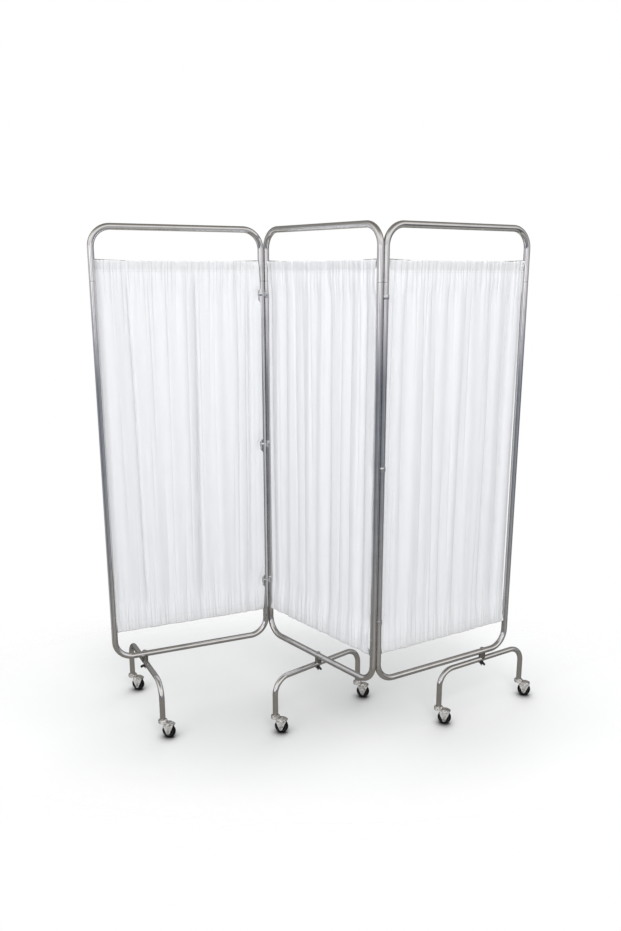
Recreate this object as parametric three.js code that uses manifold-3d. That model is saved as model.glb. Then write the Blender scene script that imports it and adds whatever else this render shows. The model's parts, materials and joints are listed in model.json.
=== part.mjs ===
// Ward privacy screen on wheels: three hinged panels standing in a zigzag.
// Each panel is a round-tube frame that comes apart into two bows and two uprights, with a gathered
// curtain on two wires and one inverted-U foot on two swivel casters, clamped under its bottom rail.
// Millimetres, +Z up, origin on the floor under the middle of the whole screen.

import * as THREE from "three";
import { mergeVertices } from "three/addons/utils/BufferGeometryUtils.js";
import Module from "manifold-3d";

const wasm = await Module();
wasm.setup();

// Driving dimensions of the frame
const panelPitch = 600;
const topRailHeight = 1780;
const bottomRailHeight = 238;
const tubeRadius = 11;
const tubeWall = 1.2;
const bendRadius = 67;
const topBowLeg = 176;
const bottomBowLeg = 167;
const spigotLength = 30;
const spigotWall = 1.2;
const slipGap = 0.3;
const endWall = 3;
const overrun = 2;
const weldDistance = 1e-4;

// How the outer panels stand, in degrees from in line with the middle one
const leftFoldAngle = 75;
const rightFoldAngle = 82.5;

// Hinge brackets on the middle panel's uprights
const hingeSpacing = 24;
const topHingeDrop = 45;
const middleHingeRise = 600;
const bottomHingeRise = 57;
const collarWall = 1.4;
const collarHeight = 15;
const leafHeight = 28;
const leafWall = 1.4;
const leafStartAngle = -84;
const leafEndAngle = -12;
const webReach = 9.5;
const rivetAngle = -40;
const rivetSpacing = 20;
const rivetRadius = 1.7;
const rivetHeadRadius = 2.7;
const rivetHeadHeight = 1.2;

// Curtain and its wires
const curtainDrop = 101;
const curtainRise = 103;
const curtainMargin = 14;
const wireRadius = 1.5;
const wireEndInset = 7.5;
const wireInset = 4.5;
const wireSag = 7;
const bandHeight = 33;
const bandThickness = 5.4;
const clothThickness = 2;
const pleatRise = 60;
const pleatDepth = 7.6;
const pleatCount = 19;
const columnsPerPleat = 3;
const pleatDriftShare = 0.32;
const pleatLeanShare = 0.1;
const pleatSwellShare = 0.45;
const pleatWaves = { slowDrift: 2, quickDrift: 5, lean: 3, swell: 4 };

// Foot and its clamp
const footTubeRadius = 10;
const footTubeWall = 1.2;
const footLegSpacing = 420;
const footBendRadius = 60;
const footLegBottom = 69;
const footPlugThickness = 5;
const boltRadius = 3;
const boltHeadRadius = 8;
const boltHeadHeight = 3.6;
const boltHeadShares = [[0, 0], [1, 0], [0.93, 0.45], [0.6, 0.86], [0, 1]];
const boltShow = 6.2;
const saddleRadius = 12;
const saddleThickness = 5.1;
const railSaddleLap = 6;
const footSaddleLap = 8.5;
const nutHubRadius = 7;
const nutHeight = 12;
const nutWingReach = 19;
const nutWingThickness = 4;
const nutWingShares = [
  [0.2, 0.95], [0.72, 0.82], [0.96, 0.55], [1, 0.2], [0.86, -0.1], [0.6, 0], [0.2, 0.3],
];

// Caster: a hooded fork that turns on the stem in the foot, with the wheel trailing behind it
const casterHeadingAngle = 35;
const casterTrail = 23;
const wheelRadius = 25;
const wheelWidth = 16;
const wheelChamfer = 2;
const stemRadius = 4.2;
const stemLength = 14;
const housingRadius = 17;
const housingCapRadius = 11.5;
const housingBottom = 52;
const housingTop = 68.2;
const housingShoulder = 64;
const hoodRadius = 34;
const hoodThickness = 2.5;
const hoodWidth = 24;
const hoodFromAngle = 48;
const hoodToAngle = 118;
const hoodCrestAngle = 84;
const neckHeightShare = 0.4;
const neckFrontShare = 1.15;
const neckBackShare = 0.65;
const plateThickness = 1.8;
const plateTipRadius = 6;
const plateTipHeight = 16;
const plateTipFromAngle = -150;
const plateTipToAngle = -30;
const plateShoulderDrop = 10;
const plateShoulderShare = 0.28;
const axleRadius = 3;
const axleHeadRadius = 5;
const axleHeadHeight = 1.5;

// Flat sides of the round pieces
const tubeSides = 12;
const boreSides = 6;
const smallSides = 6;
const blockSides = 16;
const bendSteps = 4;
const sagSteps = 6;
const leafSteps = 4;
const hoodSteps = 4;
const tipSteps = 3;

const panels = [
  { name: "left", foldAngle: leftFoldAngle, hingeSide: 1,
    footShare: 0.18, footTurnAngle: 2, pleatSeed: 0.13 },
  { name: "middle", foldAngle: 0, hingeSide: 0,
    footShare: 0.5, footTurnAngle: 2.5, pleatSeed: 0.47 },
  { name: "right", foldAngle: rightFoldAngle, hingeSide: -1,
    footShare: 0.82, footTurnAngle: -88.5, pleatSeed: 0.84 },
];

const chrome = { color: 0xb9b9bb, roughness: 0.16, metalness: 1 };
const steel = { color: 0x9a9a98, roughness: 0.3, metalness: 1 };
const cloth = { color: 0xf2f3f5, roughness: 0.9, metalness: 0 };
const blackPlastic = { color: 0x171717, roughness: 0.5, metalness: 0 };
const tyre = { color: 0x121212, roughness: 0.75, metalness: 0 };

const radians = THREE.MathUtils.degToRad;

// Solids and booleans
function toSolid(geometry) {
  const bare = geometry.clone();
  bare.deleteAttribute("normal");
  bare.deleteAttribute("uv");
  const merged = mergeVertices(bare, weldDistance);
  return new wasm.Manifold(new wasm.Mesh({
    numProp: 3,
    vertProperties: merged.attributes.position.array,
    triVerts: new Uint32Array(merged.index.array),
  }));
}

function toGeometry(solid) {
  const mesh = solid.getMesh();
  const geometry = new THREE.BufferGeometry();
  const places = new THREE.BufferAttribute(new Float32Array(mesh.vertProperties), mesh.numProp);
  geometry.setAttribute("position", places);
  geometry.setIndex(new THREE.BufferAttribute(new Uint32Array(mesh.triVerts), 1));
  return geometry;
}

function join(...geometries) {
  return toGeometry(geometries.map(toSolid).reduce((all, next) => all.add(next)));
}

function cut(geometry, ...cutters) {
  const tools = cutters.map(toSolid).reduce((all, next) => all.add(next));
  return toGeometry(toSolid(geometry).subtract(tools));
}

// A polygon whose corners lie on a circle
function polygon(radius, sides) {
  const corner = (i) => (2 * Math.PI * i) / sides;
  return Array.from({ length: sides }, (_, i) =>
    new THREE.Vector2(radius * Math.cos(corner(i)), radius * Math.sin(corner(i))));
}

// Points along an arc, its angles in degrees
function arcPoints(x, y, radius, from, to, steps) {
  return Array.from({ length: steps + 1 }, (_, i) => {
    const angle = radians(from + ((to - from) * i) / steps);
    return new THREE.Vector2(x + radius * Math.cos(angle), y + radius * Math.sin(angle));
  });
}

// The corner radius of a bore whose flats clear a rod
function boreRadius(radius, sides) {
  return (radius + slipGap) / Math.cos(Math.PI / sides);
}

function prism(outline, from, to) {
  const shape = new THREE.Shape(outline);
  const geometry = new THREE.ExtrudeGeometry(shape, { depth: to - from, bevelEnabled: false });
  return geometry.translate(0, 0, from);
}

// A round rod between two points
function rod(radius, sides, from, to) {
  const length = from.distanceTo(to);
  const geometry = prism(polygon(radius, sides), 0, length);
  const direction = to.clone().sub(from).normalize();
  const turn = new THREE.Quaternion().setFromUnitVectors(new THREE.Vector3(0, 0, 1), direction);
  return geometry.applyQuaternion(turn).translate(from.x, from.y, from.z);
}

function point(x, y, z) {
  return new THREE.Vector3(x, y, z);
}

// A path through corners, each one rounded, whose steps fall at the bends' own places
class BentPath extends THREE.Curve {
  constructor(corners, radius) {
    super();
    this.stations = [];
    const last = corners.length - 1;
    const heading = (i) => corners[i + 1].clone().sub(corners[i]).normalize();
    this.stations.push({ place: corners[0], tangent: heading(0) });
    for (let i = 1; i < last; i++) {
      this.addBend(corners[i], heading(i - 1), heading(i), radius);
    }
    this.stations.push({ place: corners[last], tangent: heading(last - 1) });
  }

  addBend(corner, before, after, radius) {
    const angle = before.angleTo(after);
    const inward = after.clone().addScaledVector(before, -before.dot(after)).normalize();
    const start = corner.clone().addScaledVector(before, -radius * Math.tan(angle / 2));
    const centre = start.clone().addScaledVector(inward, radius);
    for (let i = 0; i <= bendSteps; i++) {
      const turned = (angle * i) / bendSteps;
      const place = centre.clone()
        .addScaledVector(inward, -radius * Math.cos(turned))
        .addScaledVector(before, radius * Math.sin(turned));
      const tangent = before.clone().multiplyScalar(Math.cos(turned))
        .addScaledVector(inward, Math.sin(turned));
      this.stations.push({ place, tangent });
    }
  }

  get steps() {
    return this.stations.length - 1;
  }

  getUtoTmapping(u) {
    return u;
  }

  getPoint(t, target = new THREE.Vector3()) {
    return target.copy(this.stations[Math.round(t * this.steps)].place);
  }

  getTangent(t, target = new THREE.Vector3()) {
    return target.copy(this.stations[Math.round(t * this.steps)].tangent);
  }
}

function sweep(outline, path, steps) {
  const shape = new THREE.Shape(outline);
  return new THREE.ExtrudeGeometry(shape, { extrudePath: path, steps, bevelEnabled: false });
}

// Places along one panel, whose middle is x = 0
const halfPitch = panelPitch / 2;
const topSeam = topRailHeight - topBowLeg;
const bottomSeam = bottomRailHeight + bottomBowLeg;
const tubeBore = tubeRadius - tubeWall;
const spigotRadius = tubeBore - slipGap;
const spigotBore = spigotRadius - spigotWall;
const curtainTop = topRailHeight - curtainDrop;
const curtainBottom = bottomRailHeight + curtainRise;
const topWireHeight = curtainTop - wireInset;
const bottomWireHeight = curtainBottom + wireInset;
const hingeHeights = {
  top: topSeam - topHingeDrop,
  middle: bottomSeam + middleHingeRise,
  bottom: bottomSeam + bottomHingeRise,
};
const swivelHeight = bottomRailHeight - tubeRadius - saddleThickness - slipGap / 2;
const footRailHeight = swivelHeight - slipGap / 2 - saddleThickness - footTubeRadius;
const nutTop = footRailHeight - footTubeRadius - slipGap;
const boltTip = nutTop - nutHeight - boltShow;

// A bow: the tube is bent in a U, and each end is drawn in to a spigot that plugs into an upright
function bow(railHeight, seamHeight, wireHeight, boltShare) {
  const away = Math.sign(seamHeight - railHeight);
  const corners = (end) => [
    point(-halfPitch, 0, end), point(-halfPitch, 0, railHeight),
    point(halfPitch, 0, railHeight), point(halfPitch, 0, end),
  ];
  const along = (end) => new BentPath(corners(end), bendRadius);
  const skin = along(seamHeight);
  const hollow = along(seamHeight - away * endWall);
  const ends = [-halfPitch, halfPitch];
  const spigotTip = seamHeight + away * spigotLength;
  const spigots = ends.map((x) => rod(spigotRadius, tubeSides,
    point(x, 0, seamHeight - away * endWall), point(x, 0, spigotTip)));
  const spigotBores = ends.map((x) => rod(spigotBore, boreSides,
    point(x, 0, seamHeight - away * 2 * endWall), point(x, 0, spigotTip + away * overrun)));
  const innerFace = halfPitch - tubeRadius - overrun;
  const wireHoles = [-1, 1].map((side) => rod(boreRadius(wireRadius, smallSides), smallSides,
    point(side * halfPitch, 0, wireHeight), point(side * innerFace, 0, wireHeight)));
  const cutters = [sweep(polygon(tubeBore, boreSides), hollow, hollow.steps), ...spigotBores, ...wireHoles];
  if (boltShare !== null) {
    const x = (boltShare - 0.5) * panelPitch;
    const reach = tubeRadius + overrun;
    cutters.push(rod(boreRadius(boltRadius, smallSides), smallSides,
      point(x, 0, railHeight - reach), point(x, 0, railHeight + reach)));
  }
  const solid = join(sweep(polygon(tubeRadius, tubeSides), skin, skin.steps), ...spigots);
  return cut(solid, ...cutters);
}

// An upright: a straight tube between the bows, drilled for rivets where it carries hinge brackets
function upright(side, rivetHoles) {
  const x = side * halfPitch;
  const from = bottomSeam + slipGap;
  const to = topSeam - slipGap;
  const tube = rod(tubeRadius, tubeSides, point(x, 0, from), point(x, 0, to));
  const bore = rod(tubeBore, tubeSides, point(x, 0, from - overrun), point(x, 0, to + overrun));
  return cut(tube, bore, ...rivetHoles);
}

// A wire: sprung between holes in the tubes at its two ends, and sagging by its own share
function wirePath(height, sag) {
  const end = halfPitch - wireEndInset;
  return new THREE.QuadraticBezierCurve3(
    point(-end, 0, height), point(0, 0, height - 2 * sag), point(end, 0, height));
}

function wire(height, sag) {
  return sweep(polygon(wireRadius, smallSides), wirePath(height, sag), wireSteps(sag));
}

function wireSteps(sag) {
  return sag > 0 ? sagSteps : 1;
}

function wireBore(height, sag) {
  const outline = polygon(boreRadius(wireRadius, smallSides), smallSides);
  return sweep(outline, wirePath(height, sag), wireSteps(sag));
}

// How far the cloth stands out of the panel's plane; across and up run from 0 to 1
function pleatOffset(across, up, seed) {
  const turn = 2 * Math.PI;
  const wave = (count) => Math.sin(turn * (count * across + (count - 1) * seed));
  const drift = pleatDriftShare * (wave(pleatWaves.slowDrift) + wave(pleatWaves.quickDrift));
  const lean = pleatLeanShare * wave(pleatWaves.lean) * (up - 0.5);
  const swell = 1 - pleatSwellShare * (0.5 + 0.5 * wave(pleatWaves.swell));
  return pleatDepth * swell * Math.sin(turn * (pleatCount * across + drift + lean));
}

// The curtain: upright pleats between two flat sewn casings, each with its wire run through
function curtain(seed) {
  const halfWidth = halfPitch - curtainMargin;
  const columns = pleatCount * columnsPerPleat;
  const band = bandThickness / 2;
  const thin = clothThickness / 2;
  const rows = [
    { z: curtainBottom, half: band, depth: 0, sag: 0 },
    { z: curtainBottom + bandHeight, half: band, depth: 0, sag: 0 },
    { z: curtainBottom + bandHeight + pleatRise, half: thin, depth: 1, sag: 0 },
    { z: curtainTop - bandHeight - pleatRise, half: thin, depth: 1, sag: 1 },
    { z: curtainTop - bandHeight, half: band, depth: 0, sag: 1 },
    { z: curtainTop, half: band, depth: 0, sag: 1 },
  ];
  const places = [];
  const faces = [];
  const span = halfPitch - wireEndInset;
  for (const row of rows) {
    const up = (row.z - curtainBottom) / (curtainTop - curtainBottom);
    for (let column = 0; column <= columns; column++) {
      const across = column / columns;
      const x = (2 * across - 1) * halfWidth;
      const z = row.z - row.sag * wireSag * (1 - (x / span) ** 2);
      const y = row.depth * pleatOffset(across, up, seed);
      places.push(x, y - row.half, z, x, y + row.half, z);
    }
  }
  const corner = (row, column, back) => 2 * (row * (columns + 1) + column) + back;
  const quad = (a, b, c, d) => faces.push(a, b, c, a, c, d);
  const last = rows.length - 1;
  for (let row = 0; row < last; row++) {
    for (let column = 0; column < columns; column++) {
      quad(corner(row, column, 0), corner(row, column + 1, 0),
        corner(row + 1, column + 1, 0), corner(row + 1, column, 0));
      quad(corner(row, column + 1, 1), corner(row, column, 1),
        corner(row + 1, column, 1), corner(row + 1, column + 1, 1));
    }
    quad(corner(row, 0, 1), corner(row, 0, 0), corner(row + 1, 0, 0), corner(row + 1, 0, 1));
    quad(corner(row, columns, 0), corner(row, columns, 1),
      corner(row + 1, columns, 1), corner(row + 1, columns, 0));
  }
  for (let column = 0; column < columns; column++) {
    quad(corner(0, column, 1), corner(0, column + 1, 1),
      corner(0, column + 1, 0), corner(0, column, 0));
    quad(corner(last, column, 0), corner(last, column + 1, 0),
      corner(last, column + 1, 1), corner(last, column, 1));
  }
  const sheet = new THREE.BufferGeometry();
  sheet.setAttribute("position", new THREE.Float32BufferAttribute(places, 3));
  sheet.setIndex(faces);
  return cut(sheet, wireBore(topWireHeight, wireSag), wireBore(bottomWireHeight, 0));
}

// A rivet through the leaf and the middle panel's upright, reaching out from the upright's axis
function rivetLine(radius, sides, from, to, z) {
  const out = (distance) => point(
    distance * Math.cos(radians(rivetAngle)), distance * Math.sin(radians(rivetAngle)), z);
  return rod(radius, sides, out(from), out(to));
}

function rivetHeights(z) {
  return [z - rivetSpacing / 2, z + rivetSpacing / 2];
}

function rivetHoles() {
  return Object.values(hingeHeights).flatMap(rivetHeights).map((z) =>
    rivetLine(boreRadius(rivetRadius, smallSides), smallSides, 0, tubeRadius + overrun, z));
}

// A hinge bracket: a leaf riveted round the middle panel's upright, which stands at the origin,
// and a collar in which the outer panel's upright turns
function hingeBracket() {
  const clear = boreRadius(tubeRadius, tubeSides);
  const collarOut = tubeRadius + slipGap + collarWall;
  const leafIn = tubeRadius + slipGap;
  const leafOut = leafIn + leafWall;
  const leafOutline = [...arcPoints(0, 0, leafOut, leafStartAngle, leafEndAngle, leafSteps),
    ...arcPoints(0, 0, leafIn - leafWall, leafEndAngle, leafStartAngle, leafSteps)];
  const leaf = prism(leafOutline, -leafHeight / 2, leafHeight / 2);
  const collar = prism(polygon(collarOut / Math.cos(Math.PI / tubeSides), tubeSides),
    -collarHeight / 2, collarHeight / 2).translate(0, -hingeSpacing, 0);
  const webShares = [[0, 0.56], [1, 0.64], [1, 0.36], [0, 0.44]];
  const webOutline = webShares.map(([out, down]) =>
    new THREE.Vector2(out * webReach, -down * hingeSpacing));
  const web = prism(webOutline, -collarHeight / 2, collarHeight / 2);
  const room = leafHeight / 2 + overrun;
  const turning = rod(clear, tubeSides, point(0, -hingeSpacing, -room), point(0, -hingeSpacing, room));
  const fixed = rod(clear, tubeSides, point(0, 0, -room), point(0, 0, room));
  const rivets = rivetHeights(0).flatMap((z) => [
    rivetLine(rivetRadius, smallSides, tubeBore - tubeWall, leafOut, z),
    rivetLine(rivetHeadRadius, smallSides, leafIn + tubeWall / 2, leafOut + rivetHeadHeight, z),
  ]);
  return join(cut(join(leaf, collar, web), turning, fixed), ...rivets);
}

// The foot: a tube bent to an inverted U, drilled for the bolt, with a caster stem in each leg
function footTube() {
  const half = footLegSpacing / 2;
  const corners = (end) => [
    point(0, -half, end), point(0, -half, footRailHeight),
    point(0, half, footRailHeight), point(0, half, end),
  ];
  const skin = new BentPath(corners(footLegBottom), footBendRadius);
  const hollow = new BentPath(corners(footLegBottom + footPlugThickness), footBendRadius);
  const outside = sweep(polygon(footTubeRadius, tubeSides), skin, skin.steps);
  const inside = sweep(polygon(footTubeRadius - footTubeWall, boreSides), hollow, hollow.steps);
  const stems = [-half, half].map((y) => rod(stemRadius, smallSides,
    point(0, y, footLegBottom - stemLength), point(0, y, footLegBottom + footPlugThickness / 2)));
  const reach = footTubeRadius + overrun;
  const boltHole = rod(boreRadius(boltRadius, smallSides), smallSides,
    point(0, 0, footRailHeight - reach), point(0, 0, footRailHeight + reach));
  return join(cut(outside, inside, boltHole), ...stems);
}

// A saddle: a round block hollowed to sit on a tube, its flat face turning on the other saddle
function saddle(flat, lapped, tubeHeight, radius, direction) {
  const reach = saddleRadius + overrun;
  const block = prism(polygon(saddleRadius, blockSides), Math.min(flat, lapped), Math.max(flat, lapped));
  const along = direction.clone().multiplyScalar(reach);
  const seat = rod(boreRadius(radius, tubeSides), tubeSides,
    along.clone().negate().add(point(0, 0, tubeHeight)), along.add(point(0, 0, tubeHeight)));
  const hole = rod(boreRadius(boltRadius, smallSides), smallSides,
    point(0, 0, Math.min(flat, lapped) - overrun), point(0, 0, Math.max(flat, lapped) + overrun));
  return cut(block, seat, hole);
}

function railSaddle() {
  const flat = swivelHeight + slipGap / 2;
  return saddle(flat, bottomRailHeight - tubeRadius + railSaddleLap, bottomRailHeight, tubeRadius,
    point(1, 0, 0));
}

function footSaddle() {
  const flat = swivelHeight - slipGap / 2;
  return saddle(flat, footRailHeight + footTubeRadius - footSaddleLap, footRailHeight, footTubeRadius,
    point(0, 1, 0));
}

// The clamp bolt hangs head up through the rail, both saddles, the foot tube and the wing nut
function clampBolt() {
  const seat = bottomRailHeight + tubeRadius + slipGap;
  const profile = boltHeadShares.map(([out, up]) =>
    new THREE.Vector2(out * boltHeadRadius, up * boltHeadHeight));
  const head = new THREE.LatheGeometry(profile, tubeSides).rotateX(Math.PI / 2).translate(0, 0, seat);
  const shank = rod(boltRadius, smallSides, point(0, 0, boltTip), point(0, 0, seat + boltHeadHeight / 2));
  return join(head, shank);
}

function wingNut() {
  const bottom = nutTop - nutHeight;
  const hub = prism(polygon(nutHubRadius, tubeSides), bottom, nutTop);
  const wing = (side) => nutWingShares.map(([out, up]) =>
    new THREE.Vector2(side * out * nutWingReach, bottom + up * nutHeight));
  const outlines = [wing(1), wing(-1).reverse()];
  const wings = outlines.map((outline) =>
    prism(outline, -nutWingThickness / 2, nutWingThickness / 2).rotateX(Math.PI / 2));
  const hole = rod(boreRadius(boltRadius, smallSides), smallSides,
    point(0, 0, bottom - overrun), point(0, 0, nutTop + overrun));
  return cut(join(hub, ...wings), hole);
}

// An outline drawn in the caster's own plane, x along the trail and y up, made a plate across it
function casterPlate(outline, from, to) {
  return prism(outline, -to, -from).rotateX(Math.PI / 2);
}

// The hood follows the wheel's own centre
function hoodPoints(radius, from, to) {
  return arcPoints(casterTrail, wheelRadius, radius, from, to, hoodSteps);
}

// The fork: a bearing housing, a hood over the wheel and two plates drawn to a V round the axle
function casterFork() {
  const housing = new THREE.LatheGeometry([
    new THREE.Vector2(0, housingBottom), new THREE.Vector2(housingRadius, housingBottom),
    new THREE.Vector2(housingRadius, housingShoulder), new THREE.Vector2(housingCapRadius, housingTop),
    new THREE.Vector2(0, housingTop),
  ], tubeSides).rotateX(Math.PI / 2);
  const neckHeight = housingBottom + (housingShoulder - housingBottom) * neckHeightShare;
  const neckBack = -housingRadius * neckBackShare;
  const neck = [
    new THREE.Vector2(housingRadius * neckFrontShare, neckHeight),
    new THREE.Vector2(neckBack, neckHeight),
    new THREE.Vector2(neckBack, housingBottom - hoodThickness),
  ];
  const hoodOutline = [...hoodPoints(hoodRadius, hoodFromAngle, hoodCrestAngle), ...neck,
    ...hoodPoints(hoodRadius - hoodThickness, hoodToAngle, hoodFromAngle)];
  const hood = casterPlate(hoodOutline, -hoodWidth / 2, hoodWidth / 2);
  const tip = arcPoints(casterTrail, plateTipHeight, plateTipRadius,
    plateTipFromAngle, plateTipToAngle, tipSteps);
  const shoulder = new THREE.Vector2(
    housingRadius * plateShoulderShare, housingBottom - plateShoulderDrop);
  const plateTop = hoodPoints(hoodRadius - hoodThickness / 2, hoodFromAngle, hoodToAngle);
  const plateOutline = [...tip, ...plateTop, shoulder];
  const out = hoodWidth / 2 - slipGap;
  const plates = [[out - plateThickness, out], [-out, plateThickness - out]]
    .map(([from, to]) => casterPlate(plateOutline, from, to));
  const stemBore = rod(boreRadius(stemRadius, smallSides), smallSides,
    point(0, 0, footLegBottom - stemLength - slipGap), point(0, 0, housingTop + overrun));
  const axleBore = axleRod(boreRadius(axleRadius, smallSides), hoodWidth / 2 + overrun);
  return cut(join(housing, hood, ...plates), stemBore, axleBore);
}

function axleRod(radius, half) {
  return rod(radius, smallSides,
    point(casterTrail, -half, wheelRadius), point(casterTrail, half, wheelRadius));
}

function casterAxle() {
  const inside = hoodWidth / 2;
  const heads = [1, -1].map((side) => rod(axleHeadRadius, smallSides,
    point(casterTrail, side * inside, wheelRadius),
    point(casterTrail, side * (inside + axleHeadHeight), wheelRadius)));
  return join(axleRod(axleRadius, inside + axleHeadHeight / 2), ...heads);
}

// The wheel stands on one of its flat sides
function casterWheel() {
  const corner = wheelRadius / Math.cos(Math.PI / blockSides);
  const half = wheelWidth / 2;
  const bore = boreRadius(axleRadius, blockSides);
  const wheel = new THREE.LatheGeometry([
    new THREE.Vector2(bore, -half), new THREE.Vector2(corner - wheelChamfer, -half),
    new THREE.Vector2(corner, wheelChamfer - half), new THREE.Vector2(corner, half - wheelChamfer),
    new THREE.Vector2(corner - wheelChamfer, half), new THREE.Vector2(bore, half),
    new THREE.Vector2(bore, -half),
  ], blockSides);
  return wheel.rotateY(Math.PI / blockSides).translate(casterTrail, 0, wheelRadius);
}

// Assembly
function addPiece(group, name, geometry, finish) {
  const mesh = new THREE.Mesh(geometry, new THREE.MeshStandardMaterial(finish));
  mesh.name = name;
  group.add(mesh);
  return mesh;
}

function addCaster(foot, name, legPlace, footHeading) {
  const caster = new THREE.Group();
  caster.position.set(0, legPlace, 0);
  caster.rotation.z = radians(casterHeadingAngle - footHeading);
  foot.add(caster);
  addPiece(caster, `${name}_caster_fork`, casterFork(), chrome);
  addPiece(caster, `${name}_caster_wheel`, casterWheel(), tyre);
  addPiece(caster, `${name}_caster_axle`, casterAxle(), steel);
}

function addFoot(panelGroup, panel) {
  const clampX = (panel.footShare - 0.5) * panelPitch;
  const clamp = new THREE.Group();
  clamp.position.set(clampX, 0, 0);
  panelGroup.add(clamp);
  addPiece(clamp, `${panel.name}_rail_saddle`, railSaddle(), chrome);
  addPiece(clamp, `${panel.name}_clamp_bolt`, clampBolt(), steel);

  const foot = new THREE.Group();
  foot.rotation.z = radians(panel.footTurnAngle);
  clamp.add(foot);
  addPiece(foot, `${panel.name}_foot_saddle`, footSaddle(), chrome);
  addPiece(foot, `${panel.name}_foot_tube`, footTube(), chrome);
  addPiece(foot, `${panel.name}_wing_nut`, wingNut(), blackPlastic);
  const footHeading = panel.foldAngle + panel.footTurnAngle;
  addCaster(foot, `${panel.name}_front`, -footLegSpacing / 2, footHeading);
  addCaster(foot, `${panel.name}_rear`, footLegSpacing / 2, footHeading);
}

function addPanel(screen, panel) {
  const group = new THREE.Group();
  group.rotation.z = radians(panel.foldAngle);
  // The outer panels turn about the upright that stands in the hinge collars
  const turned = point(panel.hingeSide * halfPitch, 0, 0).applyAxisAngle(point(0, 0, 1), group.rotation.z);
  group.position.set(-panel.hingeSide * halfPitch - turned.x,
    -panel.hingeSide * hingeSpacing - turned.y, 0);
  screen.add(group);

  const isMiddle = panel.hingeSide === 0;
  const rightHoles = isMiddle ? rivetHoles().map((hole) =>
    hole.rotateZ(Math.PI).translate(halfPitch, 0, 0)) : [];
  const leftHoles = isMiddle ? rivetHoles().map((hole) => hole.translate(-halfPitch, 0, 0)) : [];
  addPiece(group, `${panel.name}_top_bow`, bow(topRailHeight, topSeam, topWireHeight, null), chrome);
  addPiece(group, `${panel.name}_bottom_bow`,
    bow(bottomRailHeight, bottomSeam, bottomWireHeight, panel.footShare), chrome);
  addPiece(group, `${panel.name}_left_upright`, upright(-1, leftHoles), chrome);
  addPiece(group, `${panel.name}_right_upright`, upright(1, rightHoles), chrome);
  addPiece(group, `${panel.name}_top_wire`, wire(topWireHeight, wireSag), steel);
  addPiece(group, `${panel.name}_bottom_wire`, wire(bottomWireHeight, 0), steel);
  addPiece(group, `${panel.name}_curtain`, curtain(panel.pleatSeed), cloth);
  addFoot(group, panel);
}

function addHinges(screen) {
  for (const [place, z] of Object.entries(hingeHeights)) {
    const left = addPiece(screen, `left_hinge_${place}`, hingeBracket(), chrome);
    left.position.set(-halfPitch, 0, z);
    const right = addPiece(screen, `right_hinge_${place}`, hingeBracket(), chrome);
    right.position.set(halfPitch, 0, z);
    right.rotation.z = Math.PI;
  }
}

const screen = new THREE.Group();
for (const panel of panels) {
  addPanel(screen, panel);
}
addHinges(screen);

// The origin goes on the floor under the middle of the whole screen
screen.updateMatrixWorld(true);
const box = new THREE.Box3().setFromObject(screen, true);
const middle = box.getCenter(new THREE.Vector3());
screen.position.set(-middle.x, -middle.y, 0);

export default screen;
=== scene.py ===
# Ward privacy screen on wheels: three hinged tube frames in a zigzag, each with a gathered white
# curtain on two wires and an inverted-U foot on two swivel casters. Metres, +Z up.
import json
import math
import bpy
import numpy as np
from mathutils import Matrix, Vector


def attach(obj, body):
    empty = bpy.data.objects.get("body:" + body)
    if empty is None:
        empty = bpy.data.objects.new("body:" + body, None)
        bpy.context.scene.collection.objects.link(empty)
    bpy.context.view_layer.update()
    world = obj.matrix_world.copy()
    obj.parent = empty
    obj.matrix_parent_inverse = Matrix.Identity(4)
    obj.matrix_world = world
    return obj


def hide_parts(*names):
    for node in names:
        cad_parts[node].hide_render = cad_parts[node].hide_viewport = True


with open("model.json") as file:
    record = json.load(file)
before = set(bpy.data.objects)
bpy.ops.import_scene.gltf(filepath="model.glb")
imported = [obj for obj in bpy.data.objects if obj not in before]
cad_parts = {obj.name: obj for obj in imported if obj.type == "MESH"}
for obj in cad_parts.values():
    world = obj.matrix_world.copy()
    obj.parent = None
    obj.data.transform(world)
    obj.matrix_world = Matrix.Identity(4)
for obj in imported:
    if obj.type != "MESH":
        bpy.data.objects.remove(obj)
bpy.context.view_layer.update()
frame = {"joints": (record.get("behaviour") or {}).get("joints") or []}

# The camera stands in front of the ridge between the middle and right panels, a little below
# their tops, and looks down. Its place, turn and lens were fitted to the panels' corners, the
# hinges and the casters.
picture_width, picture_height = 621, 931
focal_pixels = 873.4
principal_across, principal_down = 319.6, 506.4
camera_place = Vector((2.45778, -2.00277, 1.6282))
camera_yaw, camera_pitch, camera_roll = (math.radians(a) for a in (50.491, 14.891, 0.126))

camera_data = bpy.data.cameras.new("camera")
camera_data.sensor_fit = "AUTO"
camera_data.sensor_width = 36
camera_data.lens = focal_pixels * camera_data.sensor_width / picture_height
camera_data.shift_x = (picture_width / 2 - principal_across) / picture_height
camera_data.shift_y = (principal_down - picture_height / 2) / picture_height


def put_in_scene(name, data):
    placed = bpy.data.objects.new(name, data)
    bpy.context.scene.collection.objects.link(placed)
    return placed


camera = put_in_scene("camera", camera_data)
bpy.context.scene.camera = camera
level = Vector((math.cos(camera_yaw), math.sin(camera_yaw), 0))
ahead = Vector((-math.sin(camera_yaw) * math.cos(camera_pitch),
                math.cos(camera_yaw) * math.cos(camera_pitch), -math.sin(camera_pitch)))
above = level.cross(ahead)
rightward = level * math.cos(camera_roll) + above * math.sin(camera_roll)
upward = above * math.cos(camera_roll) - level * math.sin(camera_roll)
camera.matrix_world = Matrix.Translation(camera_place) @ Matrix(
    (rightward, upward, -ahead)).transposed().to_4x4()
bpy.context.scene.view_settings.view_transform = "Standard"


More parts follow.
